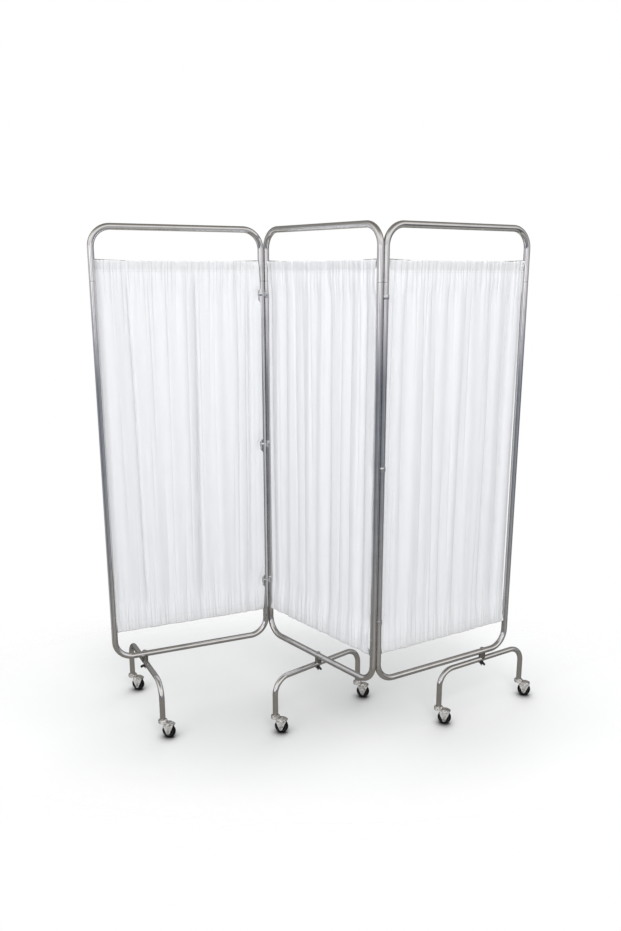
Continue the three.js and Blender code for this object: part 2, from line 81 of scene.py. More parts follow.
# Finishes are node trees written as sums: a Link is one node's output, and Python's operators on
# it add Math nodes. A Finish is one material, and its node method makes every other node.
def feed(tree, entry, value):
    """Gives a node's input its value, which may be a Link."""
    if isinstance(value, Link):
        tree.links.new(value.socket, entry)
    else:
        entry.default_value = value


class Link:
    def __init__(self, tree, socket):
        self.tree, self.socket = tree, socket

    def math(self, operation, *values):
        """A Math node; values are all its inputs, and hold this link only where it is given."""
        made = self.tree.nodes.new("ShaderNodeMath")
        made.operation = operation
        for entry, value in zip(made.inputs, values):
            feed(self.tree, entry, value)
        return Link(self.tree, made.outputs[0])

    def joined(operation):
        return lambda link, other: link.math(operation, link, other)

    __add__ = __radd__ = joined("ADD")
    __mul__ = __rmul__ = joined("MULTIPLY")
    __sub__, __truediv__, __pow__ = joined("SUBTRACT"), joined("DIVIDE"), joined("POWER")

    def __rsub__(self, other):
        return self.math("SUBTRACT", other, self)

    def __abs__(self):
        return self.math("ABSOLUTE", self)

    def between(self, low, high):
        """0 below low, 1 above high, and smooth from one to the other."""
        made = self.tree.nodes.new("ShaderNodeMapRange")
        made.interpolation_type = "SMOOTHSTEP"
        self.tree.links.new(self.socket, made.inputs["Value"])
        made.inputs["From Min"].default_value = low
        made.inputs["From Max"].default_value = high
        return Link(self.tree, made.outputs["Result"])


class Finish:
    def __init__(self, name, tree=None):
        self.material = None if tree else bpy.data.materials.new(name)
        if self.material:
            self.material.use_nodes = True
        self.tree = tree or self.material.node_tree
        self.tree.nodes.clear()

    def node(self, kind, output=0, settings=None, stops=None, **entries):
        made = self.tree.nodes.new(f"ShaderNode{kind}")
        for setting, value in (settings or {}).items():
            setattr(made, setting, value)
        if stops:
            ramp = made.color_ramp
            while len(ramp.elements) < len(stops):
                ramp.elements.new(0.5)
            for element, (place, colour) in zip(ramp.elements, stops):
                element.position, element.color = place, (*colour, 1)
        for entry, value in entries.items():
            key = entry.replace("_", " ")
            sockets = [s for s in made.inputs if s.name == key and s.enabled]
            if isinstance(value, list):
                for socket, link in zip(sockets, value):
                    feed(self.tree, socket, link)
            else:
                feed(self.tree, sockets[0], value)
        return None if output is None else Link(self.tree, made.outputs[output])

    def mix(self, share, first, second):
        """A colour between two colours."""
        made = self.tree.nodes.new("ShaderNodeMix")
        made.data_type = "RGBA"
        feed(self.tree, made.inputs[0], share)
        for index, colour in ((6, first), (7, second)):
            feed(self.tree, made.inputs[index],
                 colour if isinstance(colour, Link) else (*colour, 1))
        return Link(self.tree, made.outputs[2])

    def noise(self, scale, detail, stretch=None, **entries):
        """Noise on the piece's own coordinates, or on stretched ones."""
        place = self.node("TexCoord", "Object")
        if stretch:
            place = self.node("Mapping", Vector=place, Scale=stretch)
        return self.node("TexNoise", "Fac", Vector=place, Scale=scale, Detail=detail, **entries)

    def bump(self, height, strength, distance, **entries):
        return self.node("Bump", "Normal", Height=height, Strength=strength, Distance=distance,
                         **entries)

    def surface(self, shader):
        self.node("OutputMaterial" if self.material else "OutputWorld", None, Surface=shader)
        return self.material

    def principled(self, **entries):
        return self.surface(self.node("BsdfPrincipled", **entries))


# The floor is a sheet of pale paper that fades out into the white of the studio. Shade is painted
# on it: an oval pool of grey under the screen, longer to the rear, and a dark painted shadow where
# the wheels touch it. It lights the cloth as a darker, even floor, and what is more than a hand's
# width above mirrors it darker still.
# The pool's grey is painted shade under the screen; the white at its rim is the paper's own.
painted_shade_grey, floor_white = (0.46, 0.465, 0.465), (0.67, 0.675, 0.68)
floor_in_shade = (0.03, 0.03, 0.032)
floor_to_cloth = (0.30, 0.30, 0.30)
floor_in_mirror = (0.19, 0.18, 0.165)
pool_half_width, pool_to_front, pool_to_rear = 1.50, 0.72, 0.95
pool_centre = Vector((0.079, -0.041, -0.0005))
sheet_radius = 2.4
shade_reach = 0.055

bpy.ops.object.select_all(action="DESELECT")
bpy.ops.mesh.primitive_circle_add(vertices=128, radius=sheet_radius, fill_type="NGON",
                                  location=pool_centre)
floor = bpy.context.object
floor.name = "floor"
bpy.ops.object.transform_apply()
paper = Finish("floor_paper")
on_floor = paper.node("Mapping", "Vector", {"vector_type": "TEXTURE"}, Location=pool_centre,
                      Rotation=(0, 0, camera_yaw), Vector=paper.node("TexCoord", "Object"))
sideways = paper.node("SeparateXYZ", "X", Vector=on_floor) / pool_half_width
rearward = paper.node("SeparateXYZ", "Y", Vector=on_floor)
to_rear = rearward.math("MAXIMUM", rearward, 0.0) / pool_to_rear
to_front = rearward.math("MINIMUM", rearward, 0.0) / pool_to_front
from_middle = (sideways * sideways + to_rear * to_rear + to_front * to_front) ** 0.5
floor_tone = paper.mix(from_middle.between(-0.25, 1.0), painted_shade_grey, floor_white)
is_mirrored, mirrored_from, lights_cloth = (
    paper.node("LightPath", output)
    for output in ("Is Glossy Ray", "Ray Length", "Is Diffuse Ray"))
# Painted contact shadow: the floor's colour goes dark wherever ambient occlusion finds parts close
# above it.
open_air = paper.node("AmbientOcclusion", "AO", {"samples": 12}, Distance=shade_reach)
floor_tone = paper.mix(open_air.between(0.48, 0.97), floor_in_shade, floor_tone)
floor_tone = paper.mix(lights_cloth, floor_tone, floor_to_cloth)
floor_tone = paper.mix(is_mirrored * mirrored_from.between(0.09, 0.15), floor_tone,
                       floor_in_mirror)
floor_shader = paper.node("MixShader", Fac=from_middle.between(0.70, 1.25), Shader=[
    paper.node("BsdfDiffuse", Color=floor_tone),
    paper.node("BsdfTransparent", Color=(1, 1, 1, 1))])
floor.data.materials.append(paper.surface(floor_shader))

# The room is white to the camera, and lights the cloth and the floor as a dome, brighter above.
# What the plated tubes mirror is an ordinary showroom: bright windows over a bluish dark band
# behind the camera, a darker rear, and brighter and darker stretches of wall all round.
room = bpy.data.worlds.new("room")
room.use_nodes = True
bpy.context.scene.world = room
studio = Finish("room", room.node_tree)
look = studio.node("TexCoord", "Generated")
look_x, look_y, rise = (studio.node("SeparateXYZ", axis, Vector=look) for axis in "XYZ")
camera_heading = math.atan2(camera_place.y, camera_place.x)
facing = look_x * math.cos(camera_heading) + look_y * math.sin(camera_heading)
front_wall = studio.node("ValToRGB", "Color", stops=[
    (0.0, (0.34, 0.33, 0.31)), (0.29, (0.30, 0.29, 0.275)), (0.34, (0.26, 0.265, 0.275)),
    (0.40, (0.24, 0.255, 0.285)), (0.442, (0.25, 0.265, 0.30)), (0.468, (0.46, 0.46, 0.50)),
    (0.495, (0.66, 0.65, 0.67)), (0.58, (0.95, 0.94, 0.94)), (0.72, (1.20, 1.17, 1.13)),
    (0.84, (0.85, 0.82, 0.78)), (0.92, (0.40, 0.38, 0.35)), (1.0, (0.28, 0.265, 0.245)),
], Fac=rise * 0.5 + 0.5)
rear_wall = studio.node("ValToRGB", "Color", stops=[
    (0.0, (0.28, 0.27, 0.25)), (0.30, (0.30, 0.29, 0.275)), (0.40, (0.17, 0.17, 0.17)),
    (0.45, (0.13, 0.135, 0.145)), (0.50, (0.24, 0.24, 0.25)), (0.58, (0.30, 0.295, 0.285)),
    (0.72, (0.36, 0.35, 0.335)), (0.86, (0.32, 0.305, 0.285)), (1.0, (0.24, 0.225, 0.205)),
], Fac=rise * 0.5 + 0.5)
walls = studio.mix(facing.between(-0.35, 0.35), rear_wall, front_wall)
turn_about = look_y.math("ARCTAN2", look_y, look_x)
over_sill = rise.between(-0.13, -0.05)
at_eye = over_sill * (1 - rise.between(0.05, 0.15))
below_eye = 1 - over_sill
patches = 1.0
for heading, half_width, at_eye_level, below in (
        (-150, 16, 3.2, 0), (-104, 10, 0.55, 0), (-68, 13, 1.9, 0), (-48, 8, -0.25, 0),
        (-25, 12, 1.4, 0), (0, 10, -0.2, 0), (17, 9, 0.6, 0), (36, 10, -0.2, 0), (72, 18, 1.0, 0),
        (130, 20, 1.2, 0), (-143, 24, 0, 1.6), (-112, 16, 0, 0.45), (-74, 15, 0, -0.25),
        (-40, 15, 0, 0.4), (5, 16, 0, 0.9), (32, 13, 0, -0.45), (54, 14, 0, 0.6), (105, 16, 0, 0.3),
        (150, 22, 0, 1.6)):
    apart = turn_about - math.radians(heading)
    apart = abs(apart.math("WRAP", apart, math.pi, -math.pi))
    glow = 1 - apart.between(math.radians(half_width / 2), math.radians(half_width))
    patches = glow * (at_eye * at_eye_level + below_eye * below) + patches
mirrored = studio.node("Background", Color=walls, Strength=patches)
dome_tone = studio.mix(rise.between(-0.1, 0.6), (0.45, 0.455, 0.47), (1.12, 1.115, 1.105))
dome = studio.node("Background", Color=dome_tone, Strength=1.0)
white = studio.node("Background", Color=(1, 1, 1, 1), Strength=1.0)
ray_glossy = studio.node("LightPath", "Is Glossy Ray")
ray_seen = studio.node("LightPath", "Is Camera Ray")
studio.surface(studio.node("MixShader", Fac=ray_seen, Shader=[
    studio.node("MixShader", Fac=ray_glossy, Shader=[dome, mirrored]), white]))

# Three soft lamps: a key high on the right, a weaker fill on the left, and one behind the screen
# that shines through the cloth. The tubes don't mirror them.
for name, lamp_place, target, size, watts, colour in (
        ("key", (3.2, -1.7, 3.2), (0.1, 0.0, 0.8), 2.2, 98, (1, 0.99, 0.975)),
        ("fill", (0.2, -3.6, 2.6), (0.0, 0.0, 1.0), 2.4, 33, (0.98, 0.985, 1)),
        ("back", (-1.6, 2.6, 2.6), (0.1, 0.0, 0.9), 3.0, 46, (0.98, 0.99, 1))):
    lamp_data = bpy.data.lights.new(name, "AREA")
    lamp_data.shape, lamp_data.size = "DISK", size
    lamp_data.energy, lamp_data.color = watts, colour
    lamp = put_in_scene(name, lamp_data)
    lamp.location = lamp_place
    lamp.rotation_euler = (Vector(target) - Vector(lamp_place)).to_track_quat("-Z", "Y").to_euler()
    lamp.visible_glossy = False

# Each panel stands where its joints and its clamp are: the rail runs from the clamp to the upright
# about which the panel folds. A piece is modelled about the panel's own middle, x along the rail
# and y to the rear, and copy_to() sets it in the panel's place.
pitch = 0.6
joint_place = {joint["name"]: Vector(joint["pos_m"]) for joint in frame["joints"]}


def flat(vector):
    return Vector((vector.x, vector.y, 0))


def turned_place(place, along):
    """The matrix that puts the origin at a place and turns x to a direction."""
    return Matrix.Translation(flat(place)) @ Matrix.Rotation(math.atan2(along.y, along.x), 4, "Z")


left_rail = flat(joint_place["left_panel_fold"] - joint_place["left_foot_swivel"]).normalized()
right_rail = flat(joint_place["right_foot_swivel"] - joint_place["right_panel_fold"]).normalized()
panel_place = {
    "left": turned_place(joint_place["left_panel_fold"] - left_rail * pitch / 2, left_rail),
    "middle": turned_place(joint_place["middle_foot_swivel"], Vector((1, 0, 0))),
    "right": turned_place(joint_place["right_panel_fold"] + right_rail * pitch / 2, right_rail),
}


def copy_to(piece, name, place):
    """A copy with its own mesh, set in its place in the whole screen."""
    copied = put_in_scene(name, piece.data.copy())
    copied.data.transform(place)
    copied.data.name = name
    return copied


def dress(piece, body, slot, finish, *nodes):
    """Gives a finished piece its body and its finish, and hides the parts that it stands in for."""
    piece.data.materials.clear()
    piece.data.materials.append(finish)
    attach(piece, body)
    if nodes:
        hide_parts(*nodes)


def set_out(owner, *rows):
    """Copies patterns to their places. A row is the pattern, then the piece's name, place, body,
    slot, finish and nodes, with the names short of their owner's."""
    for pattern, name, place, body, slot, finish, *nodes in rows:
        dress(copy_to(pattern, f"{owner}_{name}", place), f"{owner}_{body}", slot, finish,
              *(f"{owner}_{node}" for node in nodes))


def put_away(*patterns):
    """Removes the patterns from which the pieces were copied."""
    for pattern in patterns:
        bpy.data.objects.remove(pattern)


# The frame's tube is 22 mm round steel, plated bright. The plate is smooth with faint polishing
# marks, and smudges of handling dull its mirror here and there.
def plated(name, colour, dull, smooth, rough, mark_scale, dents=0.0):
    """Bright plate, duller in its smudges. Its marks are finer with a larger mark_scale, and dents
    is how deep a pressing's surface is uneven."""
    plate = Finish(name)
    smudge = plate.noise(mark_scale, 4.0, Roughness=0.6).between(0.42, 0.72)
    marks = plate.noise(mark_scale * 40, 3.0)
    speck = plate.noise(mark_scale * 14, 2.0).between(0.70, 0.78)
    pressed = {}
    if dents:
        pressed["Normal"] = plate.bump(plate.noise(120.0, 1.0), 1.0, dents)
    return plate.principled(
        Base_Color=plate.mix(smudge * 0.7 + speck * 0.3, colour, dull),
        Metallic=1.0, Specular_Tint=(0.62, 0.62, 0.62, 1),
        Roughness=smudge * (rough - smooth) + smooth + marks * 0.03,
        Normal=plate.bump(marks, 0.035, 0.0004, **pressed))


tube_chrome = plated("tube_chrome", (0.66, 0.655, 0.655), (0.56, 0.555, 0.56), 0.015, 0.06, 16)

# Each frame plugs together from two bows and two uprights: a bow is one length of tube bent to a
# U whose ends are drawn in to spigots. The tube is drawn out ring by ring and bent at its corners.
tube_radius = 0.011
tube_wall = 0.0012
tube_sides = 40
seam_chamfer = 0.0009
seam_gap = 0.0004
spigot_radius = 0.0095
spigot_length = 0.030
spigot_nose, nose_length = 0.9, 0.0008
corner_radius = 0.067
corner_steps = 16
top_rail, bottom_rail = 1.780, 0.238
top_seam, bottom_seam = 1.604, 0.405


def begin():
    if bpy.context.object and bpy.context.object.mode != "OBJECT":
        bpy.ops.object.mode_set(mode="OBJECT")
    bpy.ops.object.select_all(action="DESELECT")


def take_up(piece):
    """Makes a piece the only one selected, and the active one."""
    begin()
    piece.select_set(True)
    bpy.context.view_layer.objects.active = piece


def face_outward():
    """Turns the faces of the piece in edit mode outward, and leaves edit mode."""
    bpy.ops.mesh.select_all(action="SELECT")
    bpy.ops.mesh.normals_make_consistent(inside=False)
    bpy.ops.object.mode_set(mode="OBJECT")


def smooth_bends(sharp_from=40):
    bpy.ops.object.shade_smooth_by_angle(angle=math.radians(sharp_from))


def modify(piece, kind, **settings):
    """Adds a modifier to a piece, with its settings, and applies it."""
    take_up(piece)
    modifier = piece.modifiers.new("shape", kind)
    for setting, value in settings.items():
        setattr(modifier, setting, value)
    bpy.ops.object.modifier_apply(modifier=modifier.name)
    return piece


def ring(radius, place, sides, turned=(0, 0, 0)):
    """Starts a piece with one ring, ready to be drawn out in edit mode."""
    begin()
    bpy.ops.mesh.primitive_circle_add(vertices=sides, radius=radius, location=place,
                                      rotation=turned)
    piece = bpy.context.object
    bpy.ops.object.transform_apply()
    bpy.ops.object.mode_set(mode="EDIT")
    return piece


def draw_out(way, scale=1.0, centre=None):
    """Extrudes the selected ring, and narrows or widens it about its centre."""
    bpy.ops.mesh.extrude_region_move(TRANSFORM_OT_translate={"value": tuple(way)})
    if scale != 1.0:
        bpy.ops.transform.resize(value=(scale, scale, scale), center_override=tuple(centre))


def bend_round(centre, axis, degrees, steps):
    bpy.ops.mesh.spin(steps=steps, angle=-math.radians(degrees), center=centre, axis=axis)


def close(piece, smooth_below=40):
    """Caps the open ends, turns the faces outward and shades the bends smooth."""
    bpy.ops.mesh.select_all(action="SELECT")
    bpy.ops.mesh.remove_doubles(threshold=1e-6)
    bpy.ops.mesh.fill_holes(sides=0)
    face_outward()
    smooth_bends(smooth_below)
    return piece


def draw_through(stations, about=(0, 0)):
    """Draws the ring out from station to station, each a radius and a height, about an upright
    axis."""
    for (radius, height), (out, up) in zip(stations, stations[1:]):
        draw_out((0, 0, up - height), out / radius, (*about, up))


def bent_tube(end, tip, rail, half_span, corner, along=(1, 0, 0), axis=(0, 1, 0)):
    """A tube bent to a U whose rail runs along a direction. Both ends are alike, given as
    stations of radius and distance from the tip, and the legs run on from them to the bends."""
    along, up = Vector(along), math.copysign(1, rail - tip)
    bend_height = rail - up * corner
    leg = [(radius, tip + up * distance) for radius, distance in end]
    leg.append((leg[-1][0], bend_height))

    def bend(side):
        bend_round(along * side * (half_span - corner) + Vector((0, 0, bend_height)), axis,
                   up * 90, corner_steps)

    piece = ring(leg[0][0], along * -half_span + Vector((0, 0, tip)), tube_sides)
    draw_through(leg, (along * -half_span).xy)
    bend(-1)
    draw_out(along * 2 * (half_span - corner))
    bend(1)
    draw_through(leg[::-1], (along * half_span).xy)
    return close(piece)


spigot = [(spigot_radius * spigot_nose, 0), (spigot_radius, nose_length),
          (spigot_radius, spigot_length), (tube_radius - seam_chamfer, spigot_length),
          (tube_radius, spigot_length + seam_chamfer)]
top_bow = bent_tube(spigot, top_seam - spigot_length, top_rail, pitch / 2, corner_radius)
bottom_bow = bent_tube(spigot, bottom_seam + spigot_length, bottom_rail, pitch / 2, corner_radius)

# The uprights are straight lengths of the same tube, cut square and chamfered, open at both ends
# for the spigots.
upright_from, upright_to = bottom_seam + seam_gap, top_seam - seam_gap
upright = ring(tube_radius - seam_chamfer, (0, 0, upright_from), tube_sides)
draw_through([(tube_radius - seam_chamfer, upright_from),
              (tube_radius, upright_from + seam_chamfer),
              (tube_radius, upright_to - seam_chamfer),
              (tube_radius - seam_chamfer, upright_to)])
face_outward()
modify(upright, "SOLIDIFY", thickness=tube_wall, offset=-1)
smooth_bends()

for panel, place in panel_place.items():
    chromed = "panel", "tube_chrome", tube_chrome
    left_post, right_post = (place @ Matrix.Translation((side * pitch / 2, 0, 0))
                             for side in (-1, 1))
    set_out(panel, (top_bow, "top_bent_tube", place, *chromed, "top_bow"),
            (bottom_bow, "bottom_bent_tube", place, *chromed, "bottom_bow"),
            (upright, "left_post", left_post, *chromed, "left_upright"),
            (upright, "right_post", right_post, *chromed, "right_upright"))
put_away(top_bow, bottom_bow, upright)

# The curtain wires are 3 mm drawn steel, sprung between holes in the bows' legs. The upper one
# sags under the cloth.
wire_radius = 0.0015
wire_sides = 14
wire_reach = 0.2925
top_wire_height, bottom_wire_height = 1.6745, 0.3455
wire_sag = 0.007
wire_steps = 24

drawn = Finish("wire_steel")
drawn_marks = drawn.noise(1.0, 3.0, (40, 40, 900))
wire_steel = drawn.principled(
    Base_Color=drawn.mix(drawn_marks, (0.42, 0.42, 0.42), (0.58, 0.58, 0.57)), Metallic=1.0,
    Roughness=drawn_marks * 0.2 + 0.22, Normal=drawn.bump(drawn_marks, 0.2, 0.0002))


def sag_at(across, sag):
    return sag * (1 - (across / wire_reach) ** 2)


def strung_wire(height, sag):
    piece = ring(wire_radius, (-wire_reach, 0, height), wire_sides, (0, math.pi / 2, 0))
    stops = [wire_reach * (2 * i / wire_steps - 1) for i in range(wire_steps + 1)]
    for before, after in zip(stops, stops[1:]):
        draw_out((after - before, 0, sag_at(before, sag) - sag_at(after, sag)))
    return close(piece)


top_wire = strung_wire(top_wire_height, wire_sag)
bottom_wire = strung_wire(bottom_wire_height, 0)
for panel, place in panel_place.items():
    for name, wire in (("top", top_wire), ("bottom", bottom_wire)):
        set_out(panel, (wire, f"{name}_rod_wire", place, "panel", "wire_steel", wire_steel,
                        f"{name}_wire"))
put_away(top_wire, bottom_wire)

# Each curtain is one piece of thin white polyester cotton, folded back over both wires and sewn in
# a casing, then pushed together on them. Small tucks start at the casings and die out at uneven
# lengths, and a few folds run on from wire to wire. Every row keeps the cloth's own width.
cloth_top, cloth_bottom = 1.679, 0.341
cloth_half_width = 0.2875
cloth_columns = 540
cloth_thickness = 0.00035
casing = 0.033
casing_half = 0.0021
casing_shares = (1.0, 0.9, 0.7, 0.42, 0.2)
cut_width, cut_length = 0.630, 1.424
body_rows = 34
rows_bunched, rows_even = 0.55, 0.45
loop_steps = 5
# How much of a row, in per cent, lies flush on its casing, and how much of its depth is used
flush_part, depth_used = 8, 0.99
# How far each curtain's two edges lap over the uprights: 1 is right in front of one, and below 0
# the edge is turned back behind it
lapped_ends = {"left": (-0.8, 1), "middle": (-0.5, 0.6), "right": (-0.5, -0.8)}
lap_reach, lap_depth, lap_length = 0.006, 0.0105, 0.022
corner_drop, corner_drop_length = 0.0054, 0.19
# Beside a hinge bracket a lapped edge is drawn in, so that the bracket turns clear of it
hinge_heights = {"top": 1.559, "middle": 1.005, "bottom": 0.462}
bracket_room, beside_bracket, bracket_fade = 0.0016, 0.0145, 0.012
tuck_count = 46
fold_pitch_least, fold_pitch_most = 0.030, 0.105
strong_folds = {"left": (0.19, 0.585, 0.93), "middle": (0.02, 0.60, 0.91),
                "right": (0.035, 0.77, 0.9)}
strong_width, strong_depth = 0.0062, 1.9
cloth_seeds = {"left": 11, "middle": 23, "right": 37}


def smooth_share(value):
    value = np.clip(value, 0, 1)
    return value * value * (3 - 2 * value)


def crease(across, width, lap):
    """A narrow fold: a sharp valley with the cloth lapped a little to one side of it."""
    away = across / width
    return -np.exp(-np.abs(away)) + lap * away * np.exp(-np.abs(away) * 0.7)


class Pleats:
    """The folds of one curtain: how far the cloth stands out to the front, row by row."""

    def __init__(self, seed, strong):
        rng = np.random.default_rng(seed)
        self.share = np.linspace(0, 1, cloth_columns + 1)
        self.folds = []
        place = rng.uniform(0.0, 0.03)
        while place < 1:
            self.folds.append((place, rng.uniform(0.0050, 0.0110), rng.uniform(0.35, 1.0),
                               rng.uniform(-0.4, 0.4), rng.uniform(-0.5, 0.45),
                               rng.uniform(0.5, 1.5), rng.uniform(-1, 1), rng.uniform(-1, 1)))
            place += rng.uniform(fold_pitch_least, fold_pitch_most)
        for place in strong:
            self.folds.append((place, strong_width, strong_depth, rng.choice([-0.45, 0.45]),
                               rng.uniform(-1.5, -0.4), rng.uniform(1.1, 1.6),
                               rng.uniform(-1, 1), rng.uniform(-1, 1)))
        self.tucks = []
        for _ in range(2):
            spots = np.arange(tuck_count) + rng.uniform(-0.42, 0.42, tuck_count) + 0.5
            self.tucks.append(list(zip(
                spots / tuck_count, rng.uniform(0.0035, 0.0075, tuck_count),
                rng.uniform(0.35, 1.0, tuck_count), rng.uniform(-0.5, 0.5, tuck_count),
                0.04 + rng.gamma(1.2, 0.15, tuck_count),
                rng.uniform(-0.045, 0.045, tuck_count))))
        self.fan_phases = rng.uniform(0, 1, 2)
        self.swells = [(count, *rng.uniform((0.4, 0, -1, 0), 1)) for count in (2.3, 4.1, 6.7, 9.4)]

    def fan(self, place):
        """The folds lean a little, more in one part of the curtain than in another."""
        return 0.022 * math.sin(2 * math.pi * (0.8 * place + self.fan_phases[0])) \
            + 0.010 * math.sin(2 * math.pi * (2.1 * place + self.fan_phases[1]))

    def tucked(self, upper, distance):
        """The tucks of the lower or the upper casing, at a distance from it."""
        shape = np.zeros_like(self.share)
        for place, width, depth, lap, length, drift in self.tucks[upper]:
            fade = 1 - smooth_share(distance / length)
            if fade > 0:
                spot = place + drift * min(distance, length)
                wider = width * (1 + 1.2 * distance / length)
                shape += fade * depth * crease(self.share - spot, wider, lap)
        return shape

    def folded(self, up):
        """The long folds and the soft swelling between them, from the lower casing (0) to the
        upper one (1)."""
        shape = np.zeros_like(self.share)
        for place, width, depth, lap, start, end, bow, twist in self.folds:
            strength = smooth_share((up - start) / 0.35) * smooth_share((end - up) / 0.35)
            if strength > 0:
                spot = place + self.fan(place) * (up - 0.5) + 0.004 * bow * math.sin(math.pi * up) \
                    + 0.003 * twist * math.sin(2.3 * math.pi * up)
                shape += strength * depth * crease(self.share - spot, width * (1.5 - 0.5 * up), lap)
        for count, height, phase, drift, turn in self.swells:
            along = phase + 0.25 * drift * up + 0.05 * math.sin(5 * up + 6 * turn)
            shape += 0.42 * height * np.sin(2 * np.pi * (count * self.share + along))
        return shape

    def depth(self, shape):
        """How deep a row's shape has to be for the row to hold the whole cut width."""
        step = 2 * cloth_half_width / cloth_columns
        low, high = 0.0, 0.05
        for _ in range(30):
            middle = (low + high) / 2
            if np.hypot(step, np.diff(shape) * middle).sum() < cut_width:
                low = middle
            else:
                high = middle
        return low


def cloth_rows(pleats, lapped):
    """The rows of the cloth, from the back of the lower casing round both wires to the back of
    the upper one: each row's places across the panel, out of its plane, and up."""
    rows = []
    side = 2 * pleats.share - 1
    from_end = (1 - np.abs(side)) * cloth_half_width
    drop = corner_drop * (1 - smooth_share(from_end / corner_drop_length))
    lap = (1 - smooth_share(from_end / lap_length)) * np.where(side < 0, *lapped)
    wire_at = cloth_top - top_wire_height
    tucks = []
    for upper in (0, 1):
        shape = pleats.tucked(upper, 0) + 0.55 * pleats.folded(upper)
        shape = np.maximum(shape - np.percentile(shape, flush_part), 0)
        tucks.append(shape * pleats.depth(shape) * depth_used)

    def casing_row(upper, height, out, below):
        fall = (sag_at(side * cloth_half_width, wire_sag) + drop) * upper
        rows.append((side * cloth_half_width,
                     out - lap * lap_depth * 0.8 * smooth_share(below / 0.03), height - fall))

    def flat_of(upper, front, shares):
        """The casing's front or back layer: apart at the wire, sewn together at the seam."""
        for share in shares:
            open_here = smooth_share((1 - share) / 0.6)
            out = -(casing_half * (0.3 + 0.7 * open_here) + tucks[upper])
            if not front:
                out = out * (1 - 2 * open_here) + 0.0009 * (1 - open_here)
            height = cloth_top - casing * share if upper else cloth_bottom + casing * share
            casing_row(upper, height, out, casing * share)

    def round_wire(upper):
        for i in range(loop_steps + 1):
            angle = math.pi * i / loop_steps
            bunched = wire_at + 0.3 * (tucks[upper] - tucks[upper].mean())
            height = top_wire_height + bunched * math.sin(angle) if upper \
                else bottom_wire_height - bunched * math.sin(angle)
            out = (casing_half + tucks[upper]) * math.cos(angle) * (-1 if upper else 1)
            casing_row(upper, height, out, 0)

    flat_of(0, False, casing_shares)
    round_wire(0)
    flat_of(0, True, casing_shares[::-1])
    foot, head = cloth_bottom + casing, cloth_top - casing
    even = np.linspace(0, 1, body_rows + 2)[1:-1]
    shares = rows_bunched * (1 - np.cos(np.pi * even)) / 2 + rows_even * even
    beside = [(at + side_of * reach - foot) / (head - foot) for at in hinge_heights.values()
              for reach in (beside_bracket, beside_bracket + bracket_fade) for side_of in (-1, 1)]
    apart = [share for share in shares if min(abs(share - other) for other in beside) > 0.01]
    for share in sorted(apart + beside):
        height = foot + (head - foot) * share
        loose = float(smooth_share(min(height - foot, head - height) / 0.10))
        shape = pleats.tucked(0, height - foot) + pleats.tucked(1, head - height) \
            + (0.55 + 0.95 * loose) * pleats.folded(share)
        low = np.percentile(shape, flush_part)
        shape = np.maximum(shape - low, loose * (shape - low)) - loose * (shape.mean() - low)
        fall = (sag_at(side * cloth_half_width, wire_sag) + drop) * smooth_share(share)
        away = min(abs(height - at) for at in hinge_heights.values())
        free = smooth_share((away - beside_bracket) / bracket_fade)
        lap_here = np.where(lap > 0, lap * free, lap)
        rows.append((side * (cloth_half_width + np.maximum(lap_here, 0) * lap_reach * loose
                             - np.maximum(lap, 0) * bracket_room * (1 - free)),
                     -casing_half * 0.3 * (1 - loose) - shape * pleats.depth(shape) * depth_used
                     - lap_here * lap_depth * (0.8 + 0.2 * loose), height - fall))
    flat_of(1, True, casing_shares)
    round_wire(1)
    flat_of(1, False, casing_shares[::-1])
    return rows


def sewn_curtain(name, pleats, lapped):
    """The curtain with its cloth UVs in metres, and how long its cloth is."""
    rows = cloth_rows(pleats, lapped)
    columns = cloth_columns + 1
    points = np.concatenate([np.stack(row, 1) for row in rows])
    first = np.arange(len(rows) - 1)[:, None] * columns + np.arange(cloth_columns)[None, :]
    first = first.ravel()
    faces = np.stack([first, first + columns, first + columns + 1, first + 1], 1)
    mesh = bpy.data.meshes.new(name)
    mesh.from_pydata(points.tolist(), [], faces.tolist())
    grid = points.reshape(len(rows), columns, 3)
    spacing = np.linalg.norm(np.diff(grid, axis=0), axis=2).mean(1)
    lengths = np.concatenate([[0], np.cumsum(spacing)])
    uv = mesh.uv_layers.new(name="cloth")
    at = np.zeros(len(mesh.loops), np.int32)
    mesh.loops.foreach_get("vertex_index", at)
    flat_uv = np.stack([(at % columns) * cut_width / cloth_columns,
                        lengths[at // columns] * cut_length / lengths[-1]], 1)
    uv.data.foreach_set("uv", flat_uv.astype(np.float32).ravel())
    piece = put_in_scene(name, mesh)
    take_up(piece)
    bpy.ops.object.mode_set(mode="EDIT")
    face_outward()
    modify(piece, "SOLIDIFY", thickness=cloth_thickness, offset=0, use_quality_normals=True)
    bpy.ops.object.shade_smooth()
    return piece, float(lengths[-1])


seam_from_edge = 0.0765
stitch_pitch, stitch_length, stitch_width = 0.0032, 0.0024, 0.0005

weave = Finish("curtain_cloth")
weave_place = weave.node("UVMap", "UV", {"uv_map": "cloth"})
weave_across = weave.node("SeparateXYZ", "X", Vector=weave_place)
weave_along = weave.node("SeparateXYZ", "Y", Vector=weave_place)
threads, picks = (
    weave.node("TexWave", "Fac", {"wave_type": "BANDS", "bands_direction": way},
               Vector=weave_place, Scale=420.0, Distortion=0.4, Detail=1.0) for way in "XY")
slubs, crumple = (
    weave.node("TexNoise", "Fac", Scale=1.0, Detail=detail,
               Vector=weave.node("Mapping", Vector=weave_place, Scale=(across, along, 1)))
    for across, along, detail in ((900, 30, 2.0), (60, 9, 4.0)))
seam_from_middle = cut_length / 2 - seam_from_edge
off_middle = abs(weave_along - cut_length / 2)
in_casing = off_middle.between(seam_from_middle - 0.001, seam_from_middle)
off_line = abs(off_middle - (seam_from_middle - 0.002))
on_line = 1 - off_line.between(stitch_width / 2, stitch_width)
in_stitch = (weave_across / stitch_pitch).math("FRACT", weave_across / stitch_pitch)
stitch_share = stitch_length / stitch_pitch
